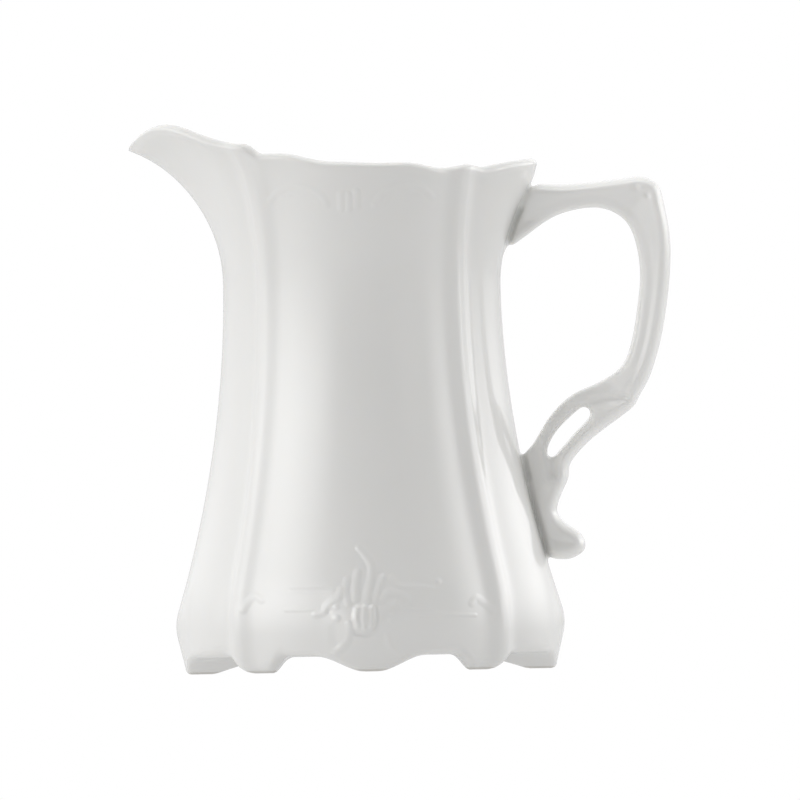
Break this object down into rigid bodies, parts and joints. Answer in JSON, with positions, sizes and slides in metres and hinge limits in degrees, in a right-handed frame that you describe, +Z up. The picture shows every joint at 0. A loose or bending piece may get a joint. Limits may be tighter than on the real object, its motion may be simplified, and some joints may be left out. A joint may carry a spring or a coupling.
{
  "type": "cream jug",
  "caption": "Small white glazed porcelain cream jug with a flared pouring lip, ribbed waisted body, scalloped foot ring and an openwork scroll handle",
  "frame": {"origin": "bottom centre of the whole jug's bounding box, on the plane that the foot stands on; the vessel's axis is 7.1 mm towards the spout from it", "axes": "+Z up along the vessel's axis, -X towards the spout's tip, +X towards the handle, Y across the jug, whose two halves mirror each other over y = 0"},
  "size_m": [0.103, 0.074, 0.1048],
  "materials": {
    "jug_body": "clear glossy glaze over white porcelain, with the standing edge of the foot unglazed",
    "handle": "clear glossy glaze over white porcelain",
    "upper_slip_joint": "fired slip under the same glossy glaze",
    "lower_slip_joint": "fired slip under the same glossy glaze"
  },
  "bodies": {
    "root": {"jug_body": "jug_body", "handle": "handle", "upper_slip_joint": "upper_slip_joint", "lower_slip_joint": "lower_slip_joint"}
  },
  "joints": []
}
